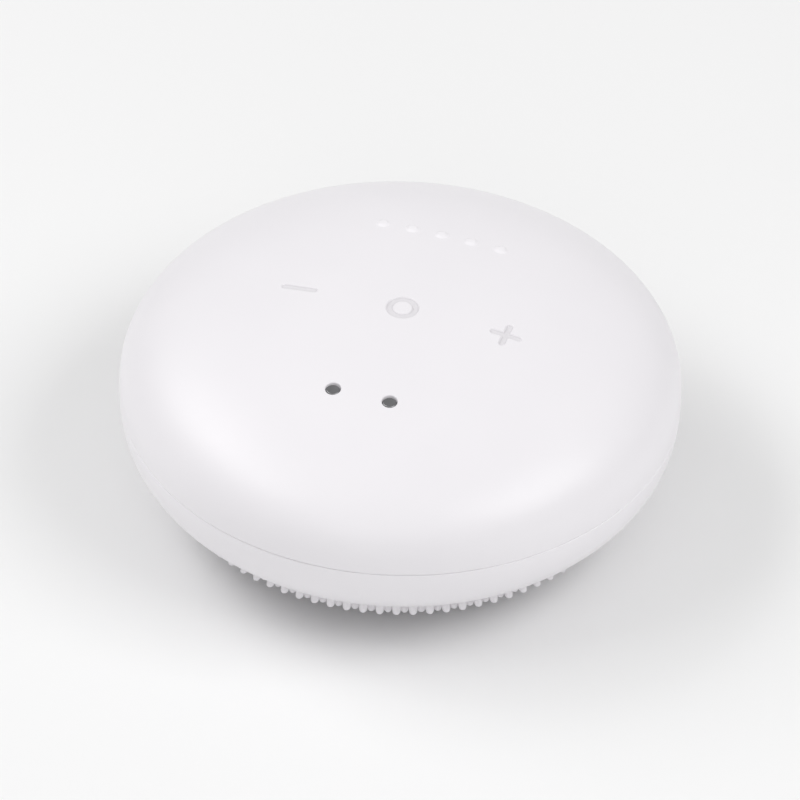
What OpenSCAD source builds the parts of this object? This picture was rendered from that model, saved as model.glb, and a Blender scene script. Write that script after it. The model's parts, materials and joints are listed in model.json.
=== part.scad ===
// Round palm-held sonic skin scrubber: a domed silicone back with three keys and two charging contacts,
// and a silicone brush face below. +X runs from the minus key to the plus key, +Y towards the row of dots,
// +Z out of the back. The origin is the middle of the plane that the bristle tips stand on.

/* [Body] */
// Diameter of the body over its skin
body_d = 80; // [79:0.5:81]
// Height of the back dome above the widest line
dome_h = 14.1; // [13.7:0.1:14.5]
// Squareness of the dome's curve, where 2 is an ellipse
dome_power = 2.3; // [2.2:0.05:2.4]
// Depth of the belly from the widest line to the brush face
belly_h = 17.5; // [17.3:0.1:18]
// Squareness of the belly's curve, where 2 is an ellipse
belly_power = 2.8; // [2.7:0.05:2.9]
// Length of the bristles in the middle of the face
bristle_len = 3; // [2.8:0.1:3.4]
// Thickness of the silicone skins
skin_t = 1.6; // [1.5:0.05:1.65]
// Thickness of the rigid shells under the skins
shell_t = 1.6; // [1.5:0.05:1.65]

/* [Brush face] */
// Radius of the area that carries bristles
field_r = 33; // [31:0.5:34]
// Radius within which all the bristle tips are level
level_r = 17; // [15:0.5:19]
// Radius of the curve that lifts the tips towards the edge
tip_curve_r = 22; // [21:0.5:26]

/* [Keys and dots] */
// Distance from the middle key to each side key
key_pitch = 15.4; // [15.1:0.1:15.8]
// Diameter of a key's pad
key_d = 10.4; // [10:0.1:10.8]
// Travel of a key when it is pressed
key_travel = 0.4; // [0.3:0.05:0.45]
// Depth of the marks in the keys
mark_depth = 0.35; // [0.25:0.05:0.45]
// Width of the lines of the marks
mark_w = 0.9; // [0.7:0.1:1.1]
// Size of the ring mark and the plus mark
mark_size = 4.6; // [4.2:0.1:5]
// Distance between the raised dots
dot_pitch = 4.4; // [3.8:0.1:4.6]
// Distance of the row of dots from the middle
dot_y = 18.2; // [17.5:0.1:19]

/* [Charging dock] */
// Distance between the two contacts
contact_pitch = 8.4; // [8:0.1:8.8]
// Diameter of a contact
contact_d = 2; // [1.8:0.1:2.3]
// Distance of the contacts from the middle
dock_y = 18.7; // [18.5:0.1:19.1]

/* [Motor and battery] */
// Diameter of the motor
motor_d = 12; // [11.6:0.1:12]
// Length of the motor without its shaft
motor_len = 20; // [19:0.5:20]
// Radius of the eccentric weight
weight_r = 5; // [4:0.1:5.2]
// Length of the battery cell
battery_len = 30; // [28:0.5:31]
// Width of the battery cell
battery_width = 20; // [18:0.5:21]
// Thickness of the battery cell
battery_t = 6.5; // [5.5:0.1:6.8]

/* [Hidden] */

$fn = 64;
curve_steps = 26;       // points along the dome, and along the belly
play = 0.05;            // running clearance on a radius
slack = 0.1;            // clearance round a soft or loose part

body_r = body_d / 2;
widest_z = bristle_len + belly_h;
above_all = widest_z + 20;  // higher than the whole body
skin_parting_z = widest_z - 1.5;
gasket_t = 0.8;
shell_parting_z = widest_z - 4.1;
wall_t = skin_t + shell_t;
rib_root = skin_t + shell_t / 2;  // ribs and bosses end halfway into the shell's wall

board_t = 1;
board_z = widest_z + 1.7;
board_top = board_z + board_t;
board_r = 30;

key_r = key_d / 2;
switch_h = 1.9;
stem_r = 1.4;
stem_top = board_top + 2.8;
plunger_r = 2;
plunger_head_r = 3.4;
plunger_head_t = 0.6;
key_room = key_travel + slack;

minus_len = mark_size + 0.6;
dot_r = 1;
dot_rise = 0.25;

contact_r = contact_d / 2;
contact_flange_r = 1.9;
contact_sunk = 0.05;    // from the lowest side of the skin's hole down to a contact's top
dock_floor = board_top + 3.2;
flange_z = dock_floor + 1.8;
flange_t = 0.7;
seal_r = 0.35;
carrier_t = 1;
magnet_r = 2.5;
magnet_t = 2;
magnet_x = 10.4;
spring_r = 1.1;
spring_wire_r = 0.18;

motor_at = [-3, 11, 13.6];
motor_r = motor_d / 2;
shaft_r = 0.75;
bush_r = 1.6;
sleeve_t = 0.7;
clamp_t = 0.8;
clamp_reach = 9.6;      // from the motor's axis to each clamp screw
clamp_x = -1;           // along the motor, from its middle
clamp_len = 8;
post_top = motor_at[2] - 0.6;

front_x = motor_len / 2;
cap_t = 2;
can_t = 0.6;
armature_r = 3.9;
shoe_inner_r = 3.1;
core_from = -4;
core_len = 9;
neck_w = 1.2;
coil_w = 2.6;
coil_end = 0.8;

battery_at = [0, -12.5, 9.6];
battery_size = [battery_len, battery_width, battery_t];
battery_pad_t = 0.8;
tray_z = battery_at[2] - battery_pad_t;
lead_r = 0.5;

shell_screw_at = 19.1;  // X and Y of each shell screw
shell_screw_r = 1.1;
shell_post_r = 3;
shell_post_top = 15.4;
screw_seat_z = 10;
board_screw_places = [[-22, 6], [22, 6], [0, -27]];
board_screw_r = 0.85;
clamp_screw_r = 0.95;
carrier_screw_r = 0.8;

silicone = [0.94, 0.93, 0.95];
abs_white = [0.88, 0.88, 0.87];
steel = [0.66, 0.67, 0.69];
board_green = [0.08, 0.32, 0.2];
chip_black = [0.09, 0.09, 0.1];
copper = [0.75, 0.42, 0.2];

// ---- Curves of the body ----
// A point of the dome, at an angle above the widest line, on the surface that lies inset below the skin's
function dome_point(angle, inset) =
    [(body_r - inset) * pow(max(0, cos(angle)), 2 / dome_power),
     widest_z + (dome_h - inset) * pow(sin(angle), 2 / dome_power)];

// The same for the belly, at an angle below the widest line
function belly_point(angle, inset) =
    [(body_r - inset) * pow(max(0, cos(angle)), 2 / belly_power),
     widest_z - (belly_h - inset) * pow(sin(angle), 2 / belly_power)];

function belly_angle(z, inset) = asin(pow((widest_z - z) / (belly_h - inset), belly_power / 2));

function dome_z(r, inset) =
    widest_z + (dome_h - inset) * pow(1 - pow(r / (body_r - inset), dome_power), 1 / dome_power);

// How far the skin leans from level, at a distance from the middle
function dome_lean(r) = atan(dome_h / body_r * pow(r / body_r, dome_power - 1)
    * pow(1 - pow(r / body_r, dome_power), 1 / dome_power - 1));

function belly_z(r, inset) =
    widest_z - (belly_h - inset) * pow(1 - pow(r / (body_r - inset), belly_power), 1 / belly_power);

function reversed(list) = [for (i = [len(list) - 1:-1:0]) list[i]];

// The belly's curve between two angles, always through the same points, so that parts that touch match
function belly_curve(from, to, inset) = concat(
    [belly_point(from, inset)],
    [for (i = [1:curve_steps - 1])
        let (angle = 90 * i / curve_steps)
        if (angle > from && angle < to) belly_point(angle, inset)],
    [belly_point(to, inset)]);

// The dome's curve from its top to just above the widest line
function dome_curve(inset) = [for (i = [0:curve_steps - 1]) dome_point(90 * (1 - i / curve_steps), inset)];

// From the top of the dome down to a parting plane just below the widest line
function back_curve(inset, z) = concat(dome_curve(inset), belly_curve(0, belly_angle(z, inset), inset));

// From a parting plane down to the middle of the face
function front_curve(inset, z) = belly_curve(belly_angle(z, inset), 90, inset);

module turned(outline) rotate_extrude($fn = 180) polygon(outline);

module back_half(outer, inner, z) turned(concat(back_curve(outer, z), reversed(back_curve(inner, z))));

module front_half(outer, inner, z) turned(concat(front_curve(outer, z), reversed(front_curve(inner, z))));

module whole_body(inset) turned(concat(dome_curve(inset), belly_curve(0, 90, inset)));

// ---- Shared shapes ----
module rod(r, from_z, to_z) translate([0, 0, from_z]) cylinder(r = r, h = to_z - from_z);

module ring(outer_r, inner_r, from_z, to_z) difference() {
    rod(outer_r, from_z, to_z);
    rod(inner_r, from_z - 1, to_z + 1);
}

module block(size, from_z) translate([-size[0] / 2, -size[1] / 2, from_z]) cube(size);

module screw(shank_r, length, head_r, head_h) {
    rod(shank_r, 0, length);
    rod(head_r, -head_h, 0);
}

module at_both_contacts() for (side = [-1, 1]) translate([side * contact_pitch / 2, -dock_y, 0]) children();

module at_shell_screws() for (x = [-1, 1], y = [-1, 1])
    translate([x * shell_screw_at, y * shell_screw_at, 0]) children();

module at_board_screws() for (place = board_screw_places) translate([place[0], place[1], 0]) children();

// Turns a shape drawn up the Z axis to lie along the motor, with its +X side down
module along_motor() translate(motor_at) rotate([0, 90, 0]) children();

module at_clamp_screws() for (side = [-1, 1])
    translate([motor_at[0] + clamp_x, motor_at[1] + side * clamp_reach, 0]) children();

// A round tube of radius r swept along a path; ref is a direction that the path never takes
module swept(path, r, ref, sides = 8) {
    last = len(path) - 1;
    tangents = [for (i = [0:last]) path[min(i + 1, last)] - path[max(i - 1, 0)]];
    points = [for (i = [0:last])
        let (t = tangents[i] / norm(tangents[i]), u = cross(t, ref) / norm(cross(t, ref)), v = cross(t, u))
        for (k = [0:sides - 1]) path[i] + r * (cos(360 * k / sides) * u + sin(360 * k / sides) * v)];
    walls = [for (i = [0:last - 1], k = [0:sides - 1])
        let (a = i * sides + k, b = i * sides + (k + 1) % sides)
        each [[a, a + sides, b], [b, a + sides, b + sides]]];
    ends = [[for (k = [0:sides - 1]) k], [for (k = [sides - 1:-1:0]) last * sides + k]];
    polyhedron(points, concat(walls, ends), convexity = 4);
}

function bezier(a, b, c, d, t) =
    pow(1 - t, 3) * a + 3 * pow(1 - t, 2) * t * b + 3 * (1 - t) * t * t * c + pow(t, 3) * d;

module lead(a, b, c, d) swept([for (t = [0:1 / 16:1]) bezier(a, b, c, d, t)], lead_r, [0, 1, 0]);

// ---- Silicone skins ----
module back_skin() color(silicone) difference() {
    union() {
        back_half(0, skin_t, skin_parting_z);
        for (i = [-2:2]) raised_dot(i * dot_pitch, dot_y);
    }
    for (x = [-key_pitch, 0, key_pitch]) translate([x, 0, 0]) rod(key_r + slack, widest_z, above_all);
    at_both_contacts() rod(contact_r + slack, widest_z, above_all);
}

module raised_dot(x, y) {
    reach = norm([x, y]);
    translate([x, y, dome_z(reach, 0)]) rotate([0, 0, atan2(y, x)]) rotate([0, dome_lean(reach), 0])
        rod(dot_r, -skin_t / 2, dot_rise);
}

module front_skin() color(silicone) front_half(0, skin_t, skin_parting_z);

// The space that the bristles fill, from the face to their tips
module bristle_field() color(silicone) {
    tip_steps = 12;
    root = front_curve(0, belly_z(field_r, 0));
    tips = [for (i = [0:tip_steps])
        let (r = level_r + (field_r - level_r) * i / tip_steps)
        [r, pow(r - level_r, 2) / (2 * tip_curve_r)]];
    turned(concat(root, [[0, 0]], tips));
}

// ---- Rigid shells ----
module key_pocket(x) {
    bottom = pad_bottom(x);
    translate([x, 0, 0]) {
        rod(key_r + 3 * slack, bottom - key_room, above_all);
        rod(plunger_head_r + 2 * slack, bottom - plunger_head_t - key_room, above_all);
        rod(plunger_r + play, board_top, above_all);
    }
}

module key_boss(x) translate([x, 0, 0]) rod(key_r + 1.4, pad_bottom(x) - 4, above_all);

module back_shell() color(abs_white) difference() {
    union() {
        back_half(skin_t, wall_t, shell_parting_z + gasket_t);
        lip_r = body_r - wall_t - 1.5;
        seam_z = shell_parting_z + gasket_t;
        ring(lip_r, lip_r - 1.2, shell_parting_z - 1.8, seam_z + 1.2);
        ring(body_r - rib_root, lip_r - 1.2, seam_z + 0.1, seam_z + 1.2);
        intersection() {
            whole_body(rib_root);
            union() {
                for (x = [-key_pitch, 0, key_pitch]) key_boss(x);
                translate([0, -dock_y, 0]) block([28, 6.8, 20], dock_floor);
                at_shell_screws() rod(shell_post_r, shell_post_top, above_all);
                at_board_screws() rod(2.2, board_top, above_all);
            }
        }
    }
    for (x = [-key_pitch, 0, key_pitch]) key_pocket(x);
    at_both_contacts() {
        rod(contact_r + play, dock_floor, above_all);
        rod(contact_flange_r + 2 * slack, dock_floor - 1, flange_z + flange_t + 2 * seal_r);
    }
    for (side = [-1, 1]) translate([side * magnet_x, -dock_y, 0])
        rod(magnet_r + play, dock_floor - 1, dock_floor + magnet_t + play);
    translate([0, -dock_y, 0]) rod(carrier_screw_r + play, dock_floor - 1, dock_floor + 3);
    at_shell_screws() rod(shell_screw_r + play, shell_post_top - 1, shell_post_top + 8);
    at_board_screws() rod(board_screw_r + play, board_top - 1, board_top + 3.2);
}

module front_shell() color(abs_white) difference() {
    union() {
        front_half(skin_t, wall_t, shell_parting_z);
        intersection() {
            whole_body(rib_root);
            union() {
                at_shell_screws() rod(shell_post_r + 0.2, 0, shell_post_top);
                at_clamp_screws() rod(2.3, 0, post_top);
                for (x = [-6.3, 3.3]) translate([motor_at[0] + x, motor_at[1], 0]) block([1.6, 15, 11], 0);
                translate([battery_at[0], battery_at[1], 0]) battery_tray();
            }
        }
    }
    along_motor() rod(motor_r + sleeve_t + play, -motor_len, motor_len);
    at_shell_screws() {
        rod(shell_screw_r + play, 0, shell_post_top + 1);
        rod(2.2, 0, screw_seat_z);
    }
    at_clamp_screws() rod(clamp_screw_r + play, post_top - 4.2, post_top + 1);
}

// Ribs under the cell, and low fences round it
module battery_tray() {
    fence_t = 1;
    fence_top = battery_at[2] + 3;
    fence_gap = 0.2 + fence_t / 2;
    for (y = [-5.5, 0, 5.5]) translate([0, y, 0]) block([26, 1.2, tray_z], 0);
    for (side = [-1, 1]) {
        translate([0, side * (battery_size[1] / 2 + fence_gap), 0]) block([16, fence_t, fence_top], 0);
        translate([side * (battery_size[0] / 2 + fence_gap), 3, 0]) block([fence_t, 6, fence_top], 0);
    }
}

module shell_gasket() color([0.55, 0.56, 0.6])
    ring(body_r - skin_t - 0.6, body_r - wall_t + 0.2, shell_parting_z, shell_parting_z + gasket_t);

module shell_screws() color(steel) at_shell_screws()
    translate([0, 0, screw_seat_z]) screw(shell_screw_r, 12.5, 2, 1.4);

// ---- Keys ----
// Height of a key pad's flat underside, where the skin above it is thinnest
function pad_bottom(x) = dome_z(abs(x) + key_r, skin_t);

module key_pad(x) color(silicone) difference() {
    intersection() {
        translate([x, 0, 0]) rod(key_r, pad_bottom(x), above_all);
        whole_body(0);
    }
    difference() {
        translate([x, 0, widest_z]) linear_extrude(above_all) children();
        whole_body(mark_depth);
    }
}

module minus_key() key_pad(-key_pitch) square([minus_len, mark_w], center = true);

module power_key() key_pad(0) difference() {
    circle(d = mark_size);
    circle(d = mark_size - 2 * mark_w);
}

module plus_key() key_pad(key_pitch) for (turn = [0, 90])
    rotate(turn) square([mark_size, mark_w], center = true);

module plunger(x) color(abs_white) translate([x, 0, 0]) {
    rod(plunger_head_r, pad_bottom(x) - plunger_head_t, pad_bottom(x));
    rod(plunger_r, stem_top, pad_bottom(x) - plunger_head_t / 2);
}

module switch_stem(x) color(chip_black) translate([x, 0, 0])
    rod(stem_r, board_top + 0.95, stem_top);

module switch_bases() color(steel) for (x = [-key_pitch, 0, key_pitch]) translate([x, 0, 0]) difference() {
    block([5.2, 5.2, switch_h], board_top);
    rod(stem_r + slack, board_top + 0.5, board_top + switch_h + 1);
}

// ---- Circuit board and what is on it ----
module circuit_board() color(board_green) difference() {
    rod(board_r, board_z, board_top);
    at_shell_screws() rod(shell_post_r + 3 * slack, board_z - 1, board_top + 1);
    at_board_screws() rod(board_screw_r + slack, board_z - 1, board_top + 1);
}

module board_screws() color(steel) at_board_screws()
    translate([0, 0, board_z]) screw(board_screw_r, 4, 1.6, 1.2);

module on_board(x, y, size) translate([x, y, 0]) block(size, board_top);

module control_chip() color(chip_black) on_board(0, 12, [6, 6, 0.9]);

module radio_module() color(steel) on_board(-12.5, 12, [9, 6.5, 1.8]);

module charge_chip() color(chip_black) on_board(9, -10, [3, 3, 0.9]);

module power_inductor() color([0.25, 0.25, 0.27]) on_board(-9, -10, [4, 4, 2]);

module board_capacitors() color([0.72, 0.6, 0.42]) {
    for (i = [0:3]) on_board(6 + 2.2 * i, 12, [0.9, 1.7, 0.8]);
    for (i = [0:3]) on_board(12.5 + 2.2 * i, -10, [0.9, 1.7, 0.8]);
}

module status_led() color([0.95, 0.95, 0.85]) on_board(0, 5, [1.6, 0.8, 0.6]);

module battery_plug() color([0.9, 0.88, 0.8]) translate([-20, -8, 0]) block([4.5, 6, 3], board_z - 3);

// ---- Battery ----
module battery_cell() color([0.72, 0.74, 0.77]) translate([battery_at[0], battery_at[1], 0])
    block(battery_size, battery_at[2]);

module battery_pad() color([0.2, 0.2, 0.22]) translate([battery_at[0], battery_at[1], 0])
    block([battery_size[0] - 4, battery_size[1] - 4, battery_pad_t], tray_z);

module battery_lead(shift) {
    out = [battery_at[0] - battery_size[0] / 2, battery_at[1] + 4 + 2 * shift, battery_at[2] + 5];
    plug = [-20, -8 + shift, board_z - 3];
    lead(out, out + [-5, 0, 0], plug - [0, 0, 3.5], plug);
}

module battery_red_lead() color("firebrick") battery_lead(1.2);

module battery_black_lead() color([0.12, 0.12, 0.12]) battery_lead(-1.2);

// ---- Charging dock ----
module charge_contacts() color([0.5, 0.5, 0.52]) at_both_contacts() {
    far_side = norm([contact_pitch / 2, dock_y]) + contact_r;
    rod(contact_r, flange_z, dome_z(far_side, 0) - contact_sunk);
    rod(contact_flange_r, flange_z, flange_z + flange_t);
}

module contact_seals() color([0.15, 0.15, 0.16]) at_both_contacts()
    translate([0, 0, flange_z + flange_t + seal_r]) rotate_extrude() translate([contact_r + seal_r, 0])
        circle(r = seal_r, $fn = 24);

module contact_springs() color(steel) at_both_contacts() {
    turns = 5;
    per_turn = 12;
    gap = 0.02;
    start_z = board_top + spring_wire_r + gap;
    rise = (flange_z - spring_wire_r - gap - start_z) / (turns * per_turn);
    swept([for (i = [0:turns * per_turn])
        let (a = 360 * i / per_turn) [spring_r * cos(a), spring_r * sin(a), start_z + rise * i]],
        spring_wire_r, [0, 0, 1], 6);
}

module contact_carrier() color(abs_white) difference() {
    union() {
        translate([0, -dock_y, 0]) block([27, 6.4, carrier_t], dock_floor - carrier_t);
        at_both_contacts() rod(contact_flange_r, dock_floor - carrier_t, flange_z);
    }
    at_both_contacts() rod(spring_r + 2 * spring_wire_r, dock_floor - 5, flange_z + 1);
    translate([0, -dock_y, 0]) rod(carrier_screw_r + slack, dock_floor - 5, dock_floor + 1);
}

module carrier_screw() color(steel) translate([0, -dock_y, dock_floor - carrier_t])
    screw(carrier_screw_r, 3.6, 1.5, 0.9);

module dock_magnets() color([0.62, 0.62, 0.64]) for (side = [-1, 1])
    translate([side * magnet_x, -dock_y, 0]) rod(magnet_r, dock_floor, dock_floor + magnet_t);

// ---- Motor ----
module motor_can() color(steel) along_motor() difference() {
    rod(motor_r, -front_x + cap_t, front_x);
    rod(motor_r - can_t, -front_x, front_x - 0.8);
    rod(bush_r, 0, front_x + 1);
}

module motor_end_cap() color(chip_black) along_motor() difference() {
    union() {
        rod(motor_r, -front_x, -front_x + cap_t);
        rod(motor_r - can_t - play, -front_x, -front_x + cap_t + 0.8);
    }
    rod(bush_r, -front_x - 1, 0);
}

module motor_bushes() color([0.72, 0.56, 0.3]) along_motor() {
    ring(bush_r - 0.01, shaft_r + 0.03, front_x - 1.6, front_x + 0.4);
    ring(bush_r - 0.01, shaft_r + 0.03, -front_x, -front_x + 2);
}

module motor_magnets() color([0.3, 0.3, 0.32]) along_motor() for (turn = [0, 180])
    rotate([0, 0, turn]) intersection() {
        ring(motor_r - can_t - play, 4.3, -4.5, 6.5);
        linear_extrude(30, center = true) polygon([[0, 0], [10, -12], [10, 12]]);
    }

module motor_brushes() color(copper) along_motor() for (side = [-1, 1])
    translate([-0.6, side * 2.15 - 0.1, -front_x + cap_t + 0.8]) cube([1.2, 0.2, 2.1]);

module motor_shaft() color(steel) along_motor() rod(shaft_r, -front_x, front_x + 8.5);

module at_each_pole() for (turn = [60, 180, 300]) rotate([0, 0, turn]) children();

// Three poles, each a neck with a curved shoe
module armature_core() color([0.45, 0.45, 0.47]) along_motor()
    translate([0, 0, core_from]) linear_extrude(core_len) difference() {
        union() {
            circle(r = 1.5);
            at_each_pole() translate([0, -neck_w / 2]) square([3.3, neck_w]);
            difference() {
                circle(r = armature_r);
                circle(r = shoe_inner_r);
                rotate(60) at_each_pole() polygon([[0, 0], [10, -1.6], [10, 1.6]]);
            }
        }
        circle(r = shaft_r + 0.01);
    }

module armature_coils() color(copper) along_motor() at_each_pole() difference() {
    translate([1.6, -coil_w / 2, core_from - coil_end]) cube([1.1, coil_w, core_len + 2 * coil_end]);
    translate([0, -neck_w / 2, core_from]) cube([4, neck_w, core_len]);
}

module commutator() color(copper) along_motor() ring(1.9, shaft_r + 0.01, -7, core_from - coil_end - 0.1);

module eccentric_weight() color([0.5, 0.5, 0.52]) along_motor() {
    weight_len = 6.5;
    weight_from = front_x + 1.5;
    translate([0, 0, weight_from]) linear_extrude(weight_len) difference() {
        union() {
            circle(r = 2);
            intersection() {
                circle(r = weight_r);
                translate([0, -weight_r]) square([weight_r, 2 * weight_r]);
            }
        }
        circle(r = shaft_r + 0.01);
    }
}

module motor_sleeve() color([0.2, 0.2, 0.22]) along_motor() ring(motor_r + sleeve_t, motor_r, -7.5, 6.5);

module motor_clamp() color(steel) difference() {
    along_motor() translate([0, 0, clamp_x - clamp_len / 2]) linear_extrude(clamp_len) {
        inner_r = motor_r + sleeve_t + play;
        ear = clamp_reach + 2.4;
        difference() {
            union() {
                circle(r = inner_r + clamp_t);
                translate([-0.2, -ear]) square([clamp_t, 2 * ear]);
            }
            circle(r = inner_r);
            translate([clamp_t - 0.2, -ear]) square([2 * ear, 2 * ear]);
        }
    }
    at_clamp_screws() rod(clamp_screw_r + slack, post_top - 1, post_top + 4);
}

module clamp_screws() color(steel) at_clamp_screws()
    translate([0, 0, post_top + clamp_t]) mirror([0, 0, 1]) screw(clamp_screw_r, 4.6, 1.7, 1.2);

module motor_lead(shift) {
    out = motor_at + [-front_x, 2.4 * shift, 2];
    pad = [motor_at[0] - front_x - 4, motor_at[1] + 1.2 * shift, board_z];
    lead(out, out + [-4, 0, 0], pad - [0, 0, 3.5], pad);
}

module motor_red_lead() color("firebrick") motor_lead(1);

module motor_black_lead() color([0.12, 0.12, 0.12]) motor_lead(-1);

// ---- One line a node ----
back_skin();
front_skin();
bristle_field();
back_shell();
front_shell();
shell_gasket();
shell_screws();
minus_key();
power_key();
plus_key();
plunger(-key_pitch);  // minus_plunger
plunger(0);  // power_plunger
plunger(key_pitch);  // plus_plunger
switch_stem(-key_pitch);  // minus_switch_stem
switch_stem(0);  // power_switch_stem
switch_stem(key_pitch);  // plus_switch_stem
switch_bases();
circuit_board();
board_screws();
control_chip();
radio_module();
charge_chip();
power_inductor();
board_capacitors();
status_led();
battery_plug();
battery_cell();
battery_pad();
battery_red_lead();
battery_black_lead();
charge_contacts();
contact_seals();
contact_springs();
contact_carrier();
carrier_screw();
dock_magnets();
motor_can();
motor_end_cap();
motor_bushes();
motor_magnets();
motor_brushes();
motor_shaft();
armature_core();
armature_coils();
commutator();
eccentric_weight();
motor_sleeve();
motor_clamp();
clamp_screws();
motor_red_lead();
motor_black_lead();
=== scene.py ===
"""The looks of a round, palm-held silicone skin scrubber, lying face down on a pale floor.

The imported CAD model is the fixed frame. The skins, keys, bristles and contacts are built here as finer
meshes that replace their CAD nodes. Every node inside keeps its CAD shape and gets its slot's material.
"""
import json
import math

import bpy
import numpy as np
from mathutils import Matrix, Vector, geometry


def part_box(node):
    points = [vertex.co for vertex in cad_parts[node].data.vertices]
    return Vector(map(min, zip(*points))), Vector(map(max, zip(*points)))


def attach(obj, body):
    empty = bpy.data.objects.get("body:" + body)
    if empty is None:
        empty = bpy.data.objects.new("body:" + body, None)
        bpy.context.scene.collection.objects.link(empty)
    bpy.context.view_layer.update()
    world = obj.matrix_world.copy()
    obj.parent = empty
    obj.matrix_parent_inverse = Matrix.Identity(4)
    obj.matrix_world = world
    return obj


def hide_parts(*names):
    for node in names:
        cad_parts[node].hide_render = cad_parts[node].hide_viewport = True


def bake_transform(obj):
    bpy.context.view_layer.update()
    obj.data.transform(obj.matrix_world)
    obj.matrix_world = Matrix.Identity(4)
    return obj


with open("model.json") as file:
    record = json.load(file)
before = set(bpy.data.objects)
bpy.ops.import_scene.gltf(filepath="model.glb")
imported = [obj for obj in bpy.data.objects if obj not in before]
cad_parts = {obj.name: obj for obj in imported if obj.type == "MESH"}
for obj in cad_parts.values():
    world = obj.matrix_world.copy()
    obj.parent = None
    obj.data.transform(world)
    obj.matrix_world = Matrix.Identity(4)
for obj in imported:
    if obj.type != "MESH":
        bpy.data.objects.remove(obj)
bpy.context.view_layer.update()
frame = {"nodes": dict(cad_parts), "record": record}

MM = 0.001

# ---- Sizes of the body, from the frame ----
BODY_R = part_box("back_skin")[1].x
PARTING_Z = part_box("back_skin")[0].z
TOP_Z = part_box("power_key")[1].z
FACE_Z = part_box("front_skin")[0].z
FIELD_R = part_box("bristle_field")[1].x
KEY_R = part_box("power_key")[1].x
KEY_X = (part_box("plus_key")[0].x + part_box("plus_key")[1].x) / 2
PARTING_DROP = 1.5 * MM        # from the widest line down to the parting line
WIDEST_Z = PARTING_Z + PARTING_DROP
DOME_H = TOP_Z - WIDEST_Z
DOME_POWER = 2.3               # squareness of the dome's curve, where 2 is an ellipse
BELLY_H = WIDEST_Z - FACE_Z
BELLY_POWER = 2.8
SKIN_T = 1.6 * MM
SEAM_ROUND = 0.25 * MM         # rounding of both skins where they meet
SEAM_STEPS = 5
SEGMENTS = 360                 # round the body
SIDE_RINGS = 60                # of the back skin, from the end of its top to the widest line
SKIRT_RINGS = 4                # of the back skin, from the widest line to its rounded edge
BELLY_RINGS = 60
UPPER_BELLY = 0.35             # share of the belly's depth whose rings are evenly spaced in height
UPPER_BELLY_RINGS = 6

# ---- Sizes of the marks ----
MARK_SIZE = 4.6 * MM
MINUS_SIZE = 5.2 * MM
MARK_W = 0.9 * MM
MARK_DEPTH = 0.3 * MM
MARK_ROUND = 0.3 * MM          # width of the slope at each side of a groove
DOT_PITCH = 4.4 * MM
DOT_Y = 18.2 * MM
DOT_R = 1 * MM
DOT_FOOT_R = 1.1 * MM          # where a dot's slope ends on the dome
DOT_SLOPE = 0.7 * MM
DOT_RISE = 0.25 * MM

# ---- Sizes of the contacts ----
CONTACT_LOW, CONTACT_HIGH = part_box("charge_contacts")
CONTACT_FLANGE_R = (CONTACT_HIGH.y - CONTACT_LOW.y) / 2
CONTACT_X = CONTACT_HIGH.x - CONTACT_FLANGE_R
CONTACT_Y = (CONTACT_LOW.y + CONTACT_HIGH.y) / 2
CONTACT_R = 1 * MM
CONTACT_HOLE_R = 1.1 * MM
CONTACT_FLANGE_T = 0.7 * MM
CONTACT_BEVEL = 0.15 * MM
CONTACT_CUP_R = 0.85 * MM
CONTACT_CUP_DEPTH = 0.1 * MM
LIP_ROUND = 0.2 * MM

# ---- Sizes of the bristles ----
LEVEL_R = 17 * MM              # the tips are level out to here
TIP_CURVE_R = 22 * MM
FINE_PITCH = 1.8 * MM
FINE_RINGS = 13
FINE_R = 0.5 * MM
THICK_RINGS = [25.5 * MM, 27.8 * MM, 30 * MM, 32 * MM]
THICK_PITCH = 2.3 * MM
THICK_R = 0.72 * MM
OUTWARD_LEAN = 0.9 * MM        # of a bristle at the edge of the field, from root to tip
BRISTLE_SIDES = 10
BURIED = 0.3 * MM              # depth of a bristle's first ring in the skin
# Each ring of a bristle: its share of the length, and its radius as a share of the bristle's
BRISTLE_RINGS = [(0.0, 1.45), (0.0, 1.4), (0.07, 1.15), (0.18, 1.03), (0.6, 0.9),
                 (0.84, 0.8), (0.93, 0.66), (0.98, 0.4)]

# ---- Points of the top of the back skin ----
# The top has rings of points round each key, contact hole and dot, and plain rings elsewhere.
TOP_END = math.radians(36)     # angle from the middle of the dome to where the top ends
TOP_RINGS = 45
KEY_RIM = 120                  # points round a key
AROUND_KEY = [0, 0.12 * MM, 0.36 * MM]    # from a key's rim to each ring round it
HOLE_RIM = 64                  # points round a contact hole
AROUND_HOLE = [beyond * MM for beyond in (0, 0.02, 0.06, 0.11, 0.17, 0.24, 0.32, 0.45, 0.65)]
DOT_RINGS = 16
DOT_RING_STEP = 0.09 * MM
KEY_CLEAR = 0.62 * MM          # the plain rings keep this far from a key,
HOLE_CLEAR = 0.95 * MM         # this far from a contact hole
DOT_CLEAR = 1.75 * MM          # and this far from the middle of a dot

# ---- Points of a key ----
# A key has rings of points inside its rim, and a fine grid of triangles under its mark.
FINE_GRID = 0.085 * MM
FINE_GRID_R = 3.1 * MM
KEY_FIRST_STEP = 0.12 * MM     # from the rim to the first ring
KEY_RING_STEP = 0.25 * MM      # from each ring to the next
KEY_GRID_GAP = 0.15 * MM       # the rings stop at least this far from the fine grid
KEY_DRAFT = 0.97               # size of a key's underside over its top


# ---- Curves of the body ----
def dome_z(r, inset=0.0):
    reach = np.clip(r / (BODY_R - inset), 0, 1)
    return WIDEST_Z + (DOME_H - inset) * (1 - reach ** DOME_POWER) ** (1 / DOME_POWER)


def belly_r(z, inset=0.0):
    depth = np.clip((WIDEST_Z - z) / (BELLY_H - inset), 0, 1)
    return (BODY_R - inset) * (1 - depth ** BELLY_POWER) ** (1 / BELLY_POWER)


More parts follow.
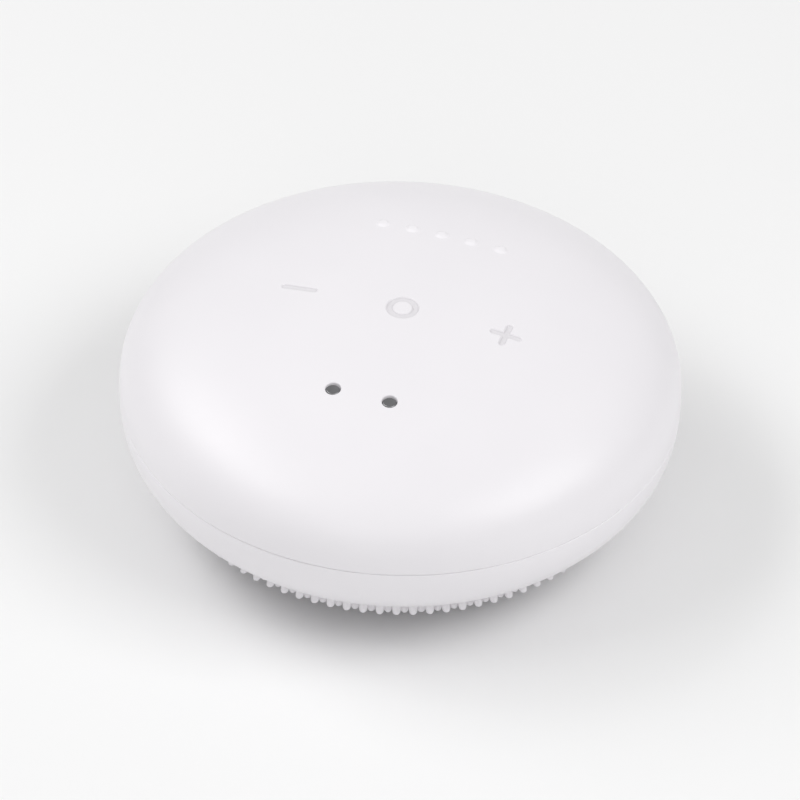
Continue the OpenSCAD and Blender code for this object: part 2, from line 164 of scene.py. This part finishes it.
def belly_z(r, inset=0.0):
    reach = np.clip(r / (BODY_R - inset), 0, 1)
    return WIDEST_Z - (BELLY_H - inset) * (1 - reach ** BELLY_POWER) ** (1 / BELLY_POWER)


def smooth(t):
    t = np.clip(t, 0, 1)
    return t * t * (3 - 2 * t)


# ---- Mesh helpers ----
SHARP_ANGLE = math.radians(45)


def make_object(name, points, faces):
    mesh = bpy.data.meshes.new(name)
    mesh.from_pydata([tuple(map(float, p)) for p in points], [], [tuple(map(int, f)) for f in faces])
    mesh.validate()
    mesh.polygons.foreach_set("use_smooth", [True] * len(mesh.polygons))
    mesh.set_sharp_from_angle(angle=SHARP_ANGLE)
    mesh.update()
    obj = bpy.data.objects.new(name, mesh)
    bpy.context.scene.collection.objects.link(obj)
    return obj


def close_sheet(outer, inner, faces):
    """A closed solid between two sheets with the same faces, walled along their open edges."""
    count = len(outer)
    edges = dict.fromkeys((a, b) for face in faces for a, b in zip(face, face[1:] + face[:1]))
    walls = [(b, a, a + count, b + count) for a, b in edges if (b, a) not in edges]
    back = [tuple(i + count for i in reversed(face)) for face in faces]
    return np.vstack([outer, inner]), list(faces) + back + walls


def lathe(profile, segments, centre=(0.0, 0.0)):
    """A profile of (r, z) points, from axis to axis, turned round a vertical axis."""
    angles = np.arange(segments) * 2 * math.pi / segments
    points = []
    rings = []
    for r, z in profile:
        start = len(points)
        if r < 1e-9:
            points.append((centre[0], centre[1], z))
            rings.append([start] * segments)
        else:
            for c, s in zip(np.cos(angles), np.sin(angles)):
                points.append((centre[0] + r * c, centre[1] + r * s, z))
            rings.append(list(range(start, start + segments)))
    faces = []
    for low, high in zip(rings, rings[1:]):
        for i in range(segments):
            j = (i + 1) % segments
            corners = [low[i], low[j], high[j], high[i]]
            faces.append(tuple(dict.fromkeys(corners)))
    return points, faces


# ---- The dome as a reshaped unit sphere ----
# A direction is a point of the unit sphere, and stands for the point of the dome at the same place in plan.
# The chart lays directions flat, each at its angle from the top.
def to_chart(directions):
    d = np.asarray(directions)
    polar = np.arccos(np.clip(d[:, 2], -1, 1))
    turn = np.arctan2(d[:, 1], d[:, 0])
    return np.column_stack([polar * np.cos(turn), polar * np.sin(turn)])


def from_chart(flat):
    polar = np.hypot(flat[:, 0], flat[:, 1])
    turn = np.arctan2(flat[:, 1], flat[:, 0])
    return np.column_stack([np.sin(polar) * np.cos(turn), np.sin(polar) * np.sin(turn), np.cos(polar)])


def over_plan(x, y):
    """The direction whose dome point is over a place in plan."""
    x = np.asarray(x, float) / BODY_R
    y = np.asarray(y, float) / BODY_R
    return np.column_stack([x, y, np.sqrt(1 - x * x - y * y)])


def on_dome(directions):
    plan = np.asarray(directions)[:, :2] * BODY_R
    return np.column_stack([plan, dome_z(np.hypot(plan[:, 0], plan[:, 1]))])


def dome_normal(directions):
    plan = np.asarray(directions)[:, :2]
    reach = np.hypot(plan[:, 0], plan[:, 1])
    steepness = reach ** (DOME_POWER - 2) * (1 - reach ** DOME_POWER) ** (1 / DOME_POWER - 1)
    sideways = plan * (DOME_H / BODY_R * steepness)[:, None]
    n = np.column_stack([sideways, np.ones(len(plan))])
    return n / np.linalg.norm(n, axis=1, keepdims=True)


def plan_ring(x, y, r, count):
    turn = np.arange(count) * 2 * math.pi / count
    return over_plan(x + r * np.cos(turn), y + r * np.sin(turn))


def cap_ring(centre, reach, count):
    """Directions at one angle from a centre direction."""
    across = np.cross((0, 1, 0), centre)
    across /= np.linalg.norm(across)
    along = np.cross(centre, across)
    turn = np.arange(count)[:, None] * 2 * math.pi / count
    return centre * math.cos(reach) + (across * np.cos(turn) + along * np.sin(turn)) * math.sin(reach)


def angle_from(directions, centre):
    """Angle of each direction from a centre direction."""
    return np.arccos(np.clip(directions @ centre, -1, 1))


def plan_distance(directions, place):
    """Distance in plan of each direction's dome point from a place."""
    return np.hypot(*(directions[:, :2] * BODY_R - place).T)


def triangulate(directions, rims):
    """Triangles over the directions, which keep every rim's edges. Rims are lists of indices."""
    flat = to_chart(directions)
    edges = [(a, b) for rim in rims for a, b in zip(rim, rim[1:] + rim[:1])]
    result = geometry.delaunay_2d_cdt([Vector(p) for p in flat], edges, [], 0, 1e-9)
    found = np.array([tuple(v) for v in result[0]])
    return from_chart(found), [tuple(f) for f in result[2]]


# ---- Places and marks of the keys, dots and contacts ----
KEY_REACH = math.asin(KEY_R / BODY_R)
KEYS = {
    "minus_key": ("minus_button", -KEY_X),
    "power_key": ("power_button", 0.0),
    "plus_key": ("plus_button", KEY_X),
}
KEY_CENTRES = {name: over_plan([x], [0.0])[0] for name, (_, x) in KEYS.items()}
DOT_PLACES = [(i * DOT_PITCH, DOT_Y) for i in range(-2, 3)]
CONTACT_PLACES = [(side * CONTACT_X, CONTACT_Y) for side in (-1, 1)]


def bar_distance(x, y, half_length, half_width):
    """Distance from a bar with round ends, along X."""
    beyond = np.clip(np.abs(x) - (half_length - half_width), 0, None)
    return np.hypot(beyond, y) - half_width


def mark_distance(name, x, y):
    """Distance from a key's mark, and negative inside it."""
    if name == "minus_key":
        return bar_distance(x, y, MINUS_SIZE / 2, MARK_W / 2)
    if name == "power_key":
        return np.abs(np.hypot(x, y) - (MARK_SIZE - MARK_W) / 2) - MARK_W / 2
    across = bar_distance(x, y, MARK_SIZE / 2, MARK_W / 2)
    along = bar_distance(y, x, MARK_SIZE / 2, MARK_W / 2)
    return np.minimum(across, along)


# ---- Keys ----
def fine_grid(centre):
    """Directions in a grid of triangles round a centre direction."""
    step = FINE_GRID / BODY_R
    reach = FINE_GRID_R / BODY_R
    columns = int(reach / step) + 1
    rows = columns + 4
    across = np.cross((0, 1, 0), centre)
    along = np.cross(centre, across)
    grid = [((i + (j % 2) / 2) * step, j * step * math.sqrt(0.75))
            for i in range(-columns, columns + 1) for j in range(-rows, rows + 1)]
    grid = np.array([g for g in grid if math.hypot(*g) < reach])
    directions = centre + across * grid[:, :1] + along * grid[:, 1:]
    return directions / np.linalg.norm(directions, axis=1, keepdims=True)


def key_top(name):
    """A key's own stretch of the dome: directions and triangles."""
    centre = KEY_CENTRES[name]
    directions = [cap_ring(centre, KEY_REACH, KEY_RIM)]
    ring = KEY_REACH - KEY_FIRST_STEP / BODY_R
    while ring > (FINE_GRID_R + KEY_GRID_GAP) / BODY_R:
        directions.append(cap_ring(centre, ring, KEY_RIM))
        ring -= KEY_RING_STEP / BODY_R
    directions.append(fine_grid(centre))
    return triangulate(np.vstack(directions), [list(range(KEY_RIM))])


def blend_key(key, name):
    """Bakes the key's placement into its mesh. Its rim on the dome is worked out but not used."""
    rim = on_dome(cap_ring(KEY_CENTRES[name], KEY_REACH, KEY_RIM))
    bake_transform(key)


def build_key(name):
    key_x = KEYS[name][1]
    directions, faces = key_top(name)
    outer = on_dome(directions)
    beyond = mark_distance(name, outer[:, 0] - key_x, outer[:, 1])
    sunk = MARK_DEPTH * smooth((MARK_ROUND / 2 - beyond) / MARK_ROUND)
    outer = outer - dome_normal(directions) * sunk[:, None]
    inner = outer.copy()
    inner[:, 0] = key_x + (outer[:, 0] - key_x) * KEY_DRAFT
    inner[:, 1] = outer[:, 1] * KEY_DRAFT
    inner[:, 2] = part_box(name.replace("key", "plunger"))[1].z
    points, faces = close_sheet(outer, inner, faces)
    key = make_object(name + "_skin", points, faces)
    blend_key(key, name)
    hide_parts(name)
    return key


# ---- Back skin ----
def plain_rings():
    """Directions all over the top, in rings round its middle."""
    directions = [np.array([[0.0, 0.0, 1.0]])]
    for k in range(1, TOP_RINGS + 1):
        polar = TOP_END * k / TOP_RINGS
        count = round(SEGMENTS * k / TOP_RINGS)
        turn = np.arange(count) * 2 * math.pi / count
        r = math.sin(polar)
        z = np.full(count, math.cos(polar))
        directions.append(np.column_stack([r * np.cos(turn), r * np.sin(turn), z]))
    return np.vstack(directions)


def clear_of_details(directions):
    """The directions that are not close to a key, a contact hole or a dot."""
    keep = np.ones(len(directions), bool)
    for centre in KEY_CENTRES.values():
        keep &= angle_from(directions, centre) > KEY_REACH + KEY_CLEAR / BODY_R
    for place in CONTACT_PLACES:
        keep &= plan_distance(directions, place) > CONTACT_HOLE_R + HOLE_CLEAR
    for place in DOT_PLACES:
        keep &= plan_distance(directions, place) > DOT_CLEAR
    return directions[keep]


def next_indices(rings, count):
    """Indices for a number of points that come after those of the rings."""
    start = sum(len(ring) for ring in rings)
    return list(range(start, start + count))


def top_points():
    """Directions all over the top, and the indices of each opening's rim."""
    rings = []
    rims = []
    for centre in KEY_CENTRES.values():
        rims.append(next_indices(rings, KEY_RIM))
        rings += [cap_ring(centre, KEY_REACH + beyond / BODY_R, KEY_RIM) for beyond in AROUND_KEY]
    for x, y in CONTACT_PLACES:
        rims.append(next_indices(rings, HOLE_RIM))
        rings += [plan_ring(x, y, CONTACT_HOLE_R + beyond, HOLE_RIM) for beyond in AROUND_HOLE]
    for x, y in DOT_PLACES:
        rings.append(over_plan([x], [y]))
        rings += [plan_ring(x, y, DOT_RING_STEP * k, 12 + 3 * k) for k in range(1, DOT_RINGS + 1)]
    rings.append(clear_of_details(plain_rings()))
    return np.vstack(rings), rims


def outside_openings(directions, faces):
    """The faces that are not over a key or a contact hole."""
    slack = 0.01 * MM
    middles = np.array([directions[list(face)].mean(axis=0) for face in faces])
    middles /= np.linalg.norm(middles, axis=1, keepdims=True)
    covered = np.zeros(len(faces), bool)
    for centre in KEY_CENTRES.values():
        covered |= angle_from(middles, centre) < KEY_REACH - slack / BODY_R
    for place in CONTACT_PLACES:
        covered |= plan_distance(middles, place) < CONTACT_HOLE_R - slack
    return [face for face, gone in zip(faces, covered) if not gone]


def relief(directions):
    """Height of the top over the plain dome: up at the dots, and down at the rounded lips of the holes."""
    lift = np.zeros(len(directions))
    for place in DOT_PLACES:
        lift += DOT_RISE * smooth((DOT_FOOT_R - plan_distance(directions, place)) / DOT_SLOPE)
    for place in CONTACT_PLACES:
        beyond = plan_distance(directions, place) - CONTACT_HOLE_R
        back = np.clip(LIP_ROUND - beyond, 0, LIP_ROUND)
        lift -= LIP_ROUND - np.sqrt(LIP_ROUND ** 2 - back ** 2)
    return lift


def side_profile(inset=0.0):
    """(r, z) of the back skin from the end of its top to the parting line, outside or inset."""
    reach = BODY_R - inset
    start = math.asin(BODY_R * math.sin(TOP_END) / reach)
    radii = [reach * math.sin(start + (math.pi / 2 - start) * k / SIDE_RINGS) for k in range(SIDE_RINGS + 1)]
    profile = [(r, float(dome_z(r, inset))) for r in radii]
    for k in range(1, SKIRT_RINGS + 1):
        z = WIDEST_Z - (PARTING_DROP - SEAM_ROUND) * k / SKIRT_RINGS
        profile.append((float(belly_r(z, inset)), z))
    for k in range(1, SEAM_STEPS + 1):
        turn = math.pi / 2 * k / SEAM_STEPS
        z = PARTING_Z + SEAM_ROUND * (1 - math.sin(turn))
        rounding = 0 if inset else SEAM_ROUND * (1 - math.cos(turn))
        profile.append((float(belly_r(z, inset)) - rounding, z))
    return profile


def turned(profile):
    """The points of a profile turned round the vertical axis, ring by ring."""
    turn = np.arange(SEGMENTS) * 2 * math.pi / SEGMENTS
    return np.vstack([np.column_stack([r * np.cos(turn), r * np.sin(turn), np.full(SEGMENTS, z)])
                      for r, z in profile])


def faces_between_rings(rings):
    faces = []
    for high in range(0, (rings - 1) * SEGMENTS, SEGMENTS):
        low = high + SEGMENTS
        for i in range(SEGMENTS):
            j = (i + 1) % SEGMENTS
            faces.append((high + i, low + i, low + j, high + j))
    return faces


def on_first_ring(directions):
    """The index on the side's first ring of every direction at the end of the top."""
    outermost = np.where(angle_from(directions, (0, 0, 1)) > TOP_END - 1e-5)[0]
    turn = np.arctan2(directions[outermost, 1], directions[outermost, 0]) / (2 * math.pi)
    return {int(i): int(place) % SEGMENTS for i, place in zip(outermost, np.round(turn * SEGMENTS))}


def build_back_skin():
    directions, rims = top_points()
    directions, top_faces = triangulate(directions, rims)
    top_faces = outside_openings(directions, top_faces)
    top_outer = on_dome(directions)
    top_inner = top_outer.copy()
    top_inner[:, 2] = dome_z(np.hypot(top_outer[:, 0], top_outer[:, 1]), SKIN_T)
    top_outer = top_outer + dome_normal(directions) * relief(directions)[:, None]

    side_outer = turned(side_profile())
    side_inner = turned(side_profile(SKIN_T))
    side_faces = faces_between_rings(len(side_outer) // SEGMENTS)

    # The top and the side share the ring where they meet
    shared = on_first_ring(directions)
    assert len(set(shared.values())) == SEGMENTS
    top_faces = [tuple(shared.get(i, i + len(side_outer)) for i in face) for face in top_faces]
    outer = np.vstack([side_outer, top_outer])
    inner = np.vstack([side_inner, top_inner])
    points, faces = close_sheet(outer, inner, side_faces + top_faces)
    used = sorted({i for face in faces for i in face})
    place = {old: new for new, old in enumerate(used)}
    skin = make_object("back_skin_moulding", points[used], [tuple(place[i] for i in face) for face in faces])
    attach(skin, "housing")
    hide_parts("back_skin")
    return skin


# ---- Front skin ----
def front_inside():
    """(r, z) of the inside of the front skin, from the axis to the parting line."""
    profile = [(0.0, FACE_Z + SKIN_T)]
    for k in range(1, BELLY_RINGS + 1):
        z = WIDEST_Z - math.cos(math.pi / 2 * k / BELLY_RINGS) ** (2 / BELLY_POWER) * (BELLY_H - SKIN_T)
        if z < PARTING_Z:
            profile.append((float(belly_r(z, SKIN_T)), z))
    profile.append((float(belly_r(PARTING_Z, SKIN_T)), PARTING_Z))
    return profile


def front_outside():
    """(r, z) of the outside of the front skin, from the parting line to the axis."""
    profile = []
    for k in range(SEAM_STEPS + 1):
        turn = math.pi / 2 * (1 - k / SEAM_STEPS)
        z = PARTING_Z - SEAM_ROUND * (1 - math.sin(turn))
        profile.append((float(belly_r(z)) - SEAM_ROUND * (1 - math.cos(turn)), z))
    high = PARTING_Z - SEAM_ROUND
    low = WIDEST_Z - UPPER_BELLY * BELLY_H
    for k in range(1, UPPER_BELLY_RINGS + 1):
        z = high - (high - low) * k / UPPER_BELLY_RINGS
        profile.append((float(belly_r(z)), z))
    start = math.asin(UPPER_BELLY ** (BELLY_POWER / 2))
    for k in range(1, BELLY_RINGS):
        angle = start + (math.pi / 2 - start) * k / BELLY_RINGS
        r = BODY_R * math.cos(angle) ** (2 / BELLY_POWER)
        profile.append((r, WIDEST_Z - math.sin(angle) ** (2 / BELLY_POWER) * BELLY_H))
    profile.append((0.0, WIDEST_Z - BELLY_H))
    return profile


def build_front_skin():
    points, faces = lathe(front_inside() + front_outside(), SEGMENTS)
    skin = make_object("front_skin_moulding", points, faces)
    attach(skin, "housing")
    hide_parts("front_skin")
    return skin


# ---- Bristles ----
def bristle_ring(k, r, count, thickness):
    """(radius, turn, thickness) of every bristle in a ring. Every other ring is turned by half a space."""
    return [(r, 2 * math.pi * (i + 0.5 * (k % 2)) / count, thickness) for i in range(count)]


def bristle_places():
    places = [(0.0, 0.0, FINE_R)]
    for k in range(1, FINE_RINGS + 1):
        places += bristle_ring(k, k * FINE_PITCH, round(2 * math.pi * k), FINE_R)
    for k, r in enumerate(THICK_RINGS):
        places += bristle_ring(k, r, round(2 * math.pi * r / THICK_PITCH), THICK_R)
    return places


def tip_z(r):
    """Height of the tips, which are level in the middle and rise towards the edge."""
    return max(0.0, r - LEVEL_R) ** 2 / (2 * TIP_CURVE_R)


def bristle_points(r, angle, thickness):
    """The rings and the tip of one bristle. The rings near its root lie along the skin."""
    turn = np.arange(BRISTLE_SIDES) * 2 * math.pi / BRISTLE_SIDES
    outward = np.array([math.cos(angle), math.sin(angle), 0.0])
    sideways = np.array([-math.sin(angle), math.cos(angle), 0.0])
    lean = OUTWARD_LEAN * float(smooth((r - LEVEL_R) / (FIELD_R - LEVEL_R)))
    base = outward * r + (0, 0, float(belly_z(r)))
    tip = outward * (r + lean) + (0, 0, tip_z(r + lean))
    points = []
    for k, (share, width) in enumerate(BRISTLE_RINGS):
        middle = base + (tip - base) * share
        for c, s in zip(np.cos(turn), np.sin(turn)):
            point = middle + (outward * c - sideways * s) * thickness * width
            skin_rise = float(belly_z(math.hypot(point[0], point[1]))) - base[2]
            point[2] += skin_rise * (1 - share) ** 4 + (BURIED if k == 0 else 0)
            points.append(point)
    return points + [tip]


def bristle_faces(start):
    """The faces of the bristle whose points begin at an index."""
    faces = []
    last = start + (len(BRISTLE_RINGS) - 1) * BRISTLE_SIDES
    for a in range(start, last, BRISTLE_SIDES):
        for i in range(BRISTLE_SIDES):
            j = (i + 1) % BRISTLE_SIDES
            faces.append((a + i, a + j, a + j + BRISTLE_SIDES, a + i + BRISTLE_SIDES))
    for i in range(BRISTLE_SIDES):
        faces.append((last + i, last + (i + 1) % BRISTLE_SIDES, last + BRISTLE_SIDES))
    faces.append(tuple(start + i for i in reversed(range(BRISTLE_SIDES))))
    return faces


def build_bristles():
    points = []
    faces = []
    for place in bristle_places():
        faces += bristle_faces(len(points))
        points += bristle_points(*place)
    bristles = make_object("bristles", points, faces)
    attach(bristles, "housing")
    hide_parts("bristle_field")
    return bristles


# ---- Contacts ----
def contact_profile():
    """(r, z) of a contact: a flange, a pin with a rounded edge and a shallow cup in its end."""
    low = CONTACT_LOW.z
    high = CONTACT_HIGH.z
    flange_top = low + CONTACT_FLANGE_T
    profile = [(0.0, low), (CONTACT_FLANGE_R, low), (CONTACT_FLANGE_R, flange_top), (CONTACT_R, flange_top)]
    for turn in np.linspace(0, math.pi / 2, 6):
        profile.append((CONTACT_R - CONTACT_BEVEL * (1 - math.cos(turn)),
                        high - CONTACT_BEVEL * (1 - math.sin(turn))))
    for share in (1, 0.8, 0.6, 0.4, 0.2, 0.0):
        profile.append((CONTACT_CUP_R * share, high - CONTACT_CUP_DEPTH * (1 - share * share)))
    return profile


def build_contacts():
    points = []
    faces = []
    for place in CONTACT_PLACES:
        more_points, more_faces = lathe(contact_profile(), 48, place)
        faces += [tuple(i + len(points) for i in f) for f in more_faces]
        points += more_points
    contacts = make_object("contact_pins", points, faces)
    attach(contacts, "housing")
    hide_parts("charge_contacts")
    return contacts


# ---- Materials ----
def new_material(name):
    material = bpy.data.materials.new(name)
    material.use_nodes = True
    tree = material.node_tree
    return material, tree, tree.nodes["Principled BSDF"]


def noise_texture(tree, scale, detail=3.0, roughness=0.5):
    place = tree.nodes.new("ShaderNodeTexCoord")
    texture = tree.nodes.new("ShaderNodeTexNoise")
    texture.inputs["Scale"].default_value = scale
    texture.inputs["Detail"].default_value = detail
    texture.inputs["Roughness"].default_value = roughness
    tree.links.new(place.outputs["Object"], texture.inputs["Vector"])
    return texture


def colour_between(tree, shader, texture, low, high):
    ramp = tree.nodes.new("ShaderNodeValToRGB")
    ramp.color_ramp.elements[0].position = 0.3
    ramp.color_ramp.elements[0].color = (*low, 1)
    ramp.color_ramp.elements[1].position = 0.7
    ramp.color_ramp.elements[1].color = (*high, 1)
    tree.links.new(texture.outputs["Fac"], ramp.inputs["Fac"])
    tree.links.new(ramp.outputs["Color"], shader.inputs["Base Color"])


def roughness_between(tree, shader, texture, low, high):
    spread = tree.nodes.new("ShaderNodeMapRange")
    spread.inputs["From Min"].default_value = 0.3
    spread.inputs["From Max"].default_value = 0.7
    spread.inputs["To Min"].default_value = low
    spread.inputs["To Max"].default_value = high
    tree.links.new(texture.outputs["Fac"], spread.inputs["Value"])
    tree.links.new(spread.outputs["Result"], shader.inputs["Roughness"])


def bump(tree, shader, texture, distance, strength=1.0):
    node = tree.nodes.new("ShaderNodeBump")
    node.inputs["Strength"].default_value = strength
    node.inputs["Distance"].default_value = distance
    tree.links.new(texture.outputs["Fac"], node.inputs["Height"])
    tree.links.new(node.outputs["Normal"], shader.inputs["Normal"])


SILICONE_LOW = np.array((0.85, 0.83, 0.858))
SILICONE_HIGH = np.array((0.866, 0.846, 0.873))
MARK_GROOVE_PAINTED_SHADE = 0.86              # painted shade of the key marks' grooves, as a share of the skin's colour
# lighter dots: partly a pale ink, partly a painted highlight standing for their glints
DOT_INK_AND_PAINTED_HIGHLIGHT = 1.04


def silicone(name, shade=1.0):
    material, tree, shader = new_material(name)
    cloud = noise_texture(tree, 60, 2)
    colour_between(tree, shader, cloud, SILICONE_LOW * shade, SILICONE_HIGH * shade)
    roughness_between(tree, shader, noise_texture(tree, 900, 4), 0.33, 0.39)
    bump(tree, shader, noise_texture(tree, 4500, 2), 0.006 * MM, 0.6)
    shader.inputs["Specular IOR Level"].default_value = 0.45
    shader.inputs["Sheen Weight"].default_value = 0.12
    shader.inputs["Sheen Roughness"].default_value = 0.5
    return material


# Class of material: metallic, roughness, spread of its colour, scale and depth of its grain
FINISHES = {
    "rubber": (0.0, 0.6, 0.08, 2500, 0.01),
    "matte_plastic": (0.0, 0.5, 0.05, 3000, 0.008),
    "gloss_plastic": (0.0, 0.25, 0.1, 1500, 0.004),
    "brushed_steel": (1.0, 0.32, 0.1, 4000, 0.003),
    "chrome": (1.0, 0.12, 0.05, 2000, 0.002),
    "aluminium": (1.0, 0.4, 0.08, 1200, 0.01),
    "brass": (1.0, 0.3, 0.12, 3000, 0.003),
    "cast_iron": (1.0, 0.5, 0.15, 2500, 0.012),
    "ceramic": (0.0, 0.55, 0.12, 2500, 0.01),
}


def from_record(entry):
    metallic, roughness, spread, scale, depth = FINISHES[entry["class"]]
    material, tree, shader = new_material(entry["slot"])
    colour = np.array(entry["base_color"][:3])
    colour_between(tree, shader, noise_texture(tree, scale / 8, 3), colour * (1 - spread), colour)
    roughness_between(tree, shader, noise_texture(tree, scale / 3, 4), roughness * 0.85, roughness * 1.15)
    bump(tree, shader, noise_texture(tree, scale, 2), depth * MM)
    shader.inputs["Metallic"].default_value = metallic
    return material


def paint(obj, material):
    obj.data.materials.clear()
    obj.data.materials.append(material)


def paint_where(obj, material, is_inside):
    """Gives the material to the faces on the dome whose middle is inside."""
    obj.data.materials.append(material)
    for face in obj.data.polygons:
        x, y, z = face.center
        if z > dome_z(math.hypot(x, y)) - SKIN_T / 2 and is_inside(x, y):
            face.material_index = len(obj.data.materials) - 1


def on_a_dot(x, y):
    return any(math.hypot(x - dot_x, y - dot_y) < DOT_R for dot_x, dot_y in DOT_PLACES)


def paint_nodes(slots):
    slot_of = {part["node"]: part["material_slot"] for part in frame["record"]["subparts"]}
    for name, node in frame["nodes"].items():
        paint(node, slots[slot_of[name]])


# ---- Stage ----
TARGET = Vector((0, 0, TOP_Z / 2))
VIEW_AZIMUTH = math.radians(17)
VIEW_ELEVATION = math.radians(40.6)
VIEW_ROLL = math.radians(1.6)
VIEW_DISTANCE = 2.53
VIEW_LENS = 800


def towards(azimuth, elevation):
    """The direction at an azimuth, from the front towards the right, and an elevation."""
    level = math.cos(elevation)
    return Vector((math.sin(azimuth) * level, -math.cos(azimuth) * level, math.sin(elevation)))


def make_camera():
    back = towards(VIEW_AZIMUTH, VIEW_ELEVATION)
    level = Vector((math.cos(VIEW_AZIMUTH), math.sin(VIEW_AZIMUTH), 0))
    upward = back.cross(level)
    right = level * math.cos(VIEW_ROLL) + upward * math.sin(VIEW_ROLL)
    up = upward * math.cos(VIEW_ROLL) - level * math.sin(VIEW_ROLL)
    camera = bpy.data.objects.new("camera", bpy.data.cameras.new("camera"))
    camera.data.lens = VIEW_LENS
    camera.data.clip_end = 20
    turn = Matrix((right, up, back)).transposed().to_4x4()
    camera.matrix_world = Matrix.Translation(TARGET + back * VIEW_DISTANCE) @ turn
    bpy.context.scene.collection.objects.link(camera)
    bpy.context.scene.camera = camera


def softbox(name, azimuth, elevation, distance, width, height, power):
    light = bpy.data.lights.new(name, "AREA")
    light.shape = "RECTANGLE"
    light.size = width
    light.size_y = height
    light.energy = power
    obj = bpy.data.objects.new(name, light)
    place = TARGET + towards(math.radians(azimuth), math.radians(elevation)) * distance
    turn = (place - TARGET).to_track_quat("Z", "Y").to_matrix().to_4x4()
    obj.matrix_world = Matrix.Translation(place) @ turn
    bpy.context.scene.collection.objects.link(obj)


# Name, azimuth, elevation, distance, width, height and power of each softbox
SOFTBOXES = [
    ("left_softbox", -103, 44, 0.9, 0.4, 0.42, 1.4),
    ("left_high_softbox", -68, 52, 0.9, 0.55, 0.32, 1.7),
    ("right_softbox", 84, 49, 0.9, 0.65, 0.42, 2.9),
    ("front_softbox", 14, 36, 1.2, 0.9, 0.5, 1.0),
]
WORLD_STRENGTH = 0.5
FLOOR_HALF = 3.0


def make_floor():
    half = FLOOR_HALF
    corners = [(-half, -half, 0), (half, -half, 0), (half, half, 0), (-half, half, 0)]
    floor = make_object("floor", corners, [(0, 1, 2, 3)])
    material, tree, shader = new_material("floor_paper")
    colour_between(tree, shader, noise_texture(tree, 4, 3), (0.88, 0.88, 0.88), (0.9, 0.9, 0.9))
    shader.inputs["Roughness"].default_value = 0.8
    paint(floor, material)


def make_lights():
    world = bpy.data.worlds.new("world")
    world.use_nodes = True
    background = world.node_tree.nodes["Background"]
    background.inputs["Color"].default_value = (1, 1, 1, 1)
    background.inputs["Strength"].default_value = WORLD_STRENGTH
    bpy.context.scene.world = world
    bpy.context.scene.view_settings.view_transform = "Standard"
    for box in SOFTBOXES:
        softbox(*box)


# ---- The whole scene ----
make_camera()
make_floor()
make_lights()
slots = {entry["slot"]: from_record(entry) for entry in frame["record"]["materials"]}
skin_material = silicone("satin_silicone")
# A darker copy of the skin's silicone: painted shade for the grooves of the key marks
mark_groove_painted_shade_material = silicone("mark_groove_painted_shade_silicone", MARK_GROOVE_PAINTED_SHADE)
# A lighter copy of the skin's silicone for the dots: partly pale ink, partly painted highlight
dot_ink_and_painted_highlight_material = silicone("dot_ink_and_painted_highlight_silicone", DOT_INK_AND_PAINTED_HIGHLIGHT)
slots["silicone_skin"] = skin_material
slots["silicone_key"] = skin_material
paint_nodes(slots)
for key_name, (_, key_x) in KEYS.items():
    key = build_key(key_name)
    paint(key, skin_material)
    # Painted shade: the faces inside each mark's groove get the darker copy of the silicone
    paint_where(key, mark_groove_painted_shade_material, lambda x, y: mark_distance(key_name, x - key_x, y) < 0)
back_skin = build_back_skin()
paint(back_skin, skin_material)
# The dots get the lighter silicone: partly pale ink, partly painted highlight
paint_where(back_skin, dot_ink_and_painted_highlight_material, on_a_dot)
paint(build_front_skin(), skin_material)
paint(build_bristles(), skin_material)
paint(build_contacts(), slots["contact_metal"])
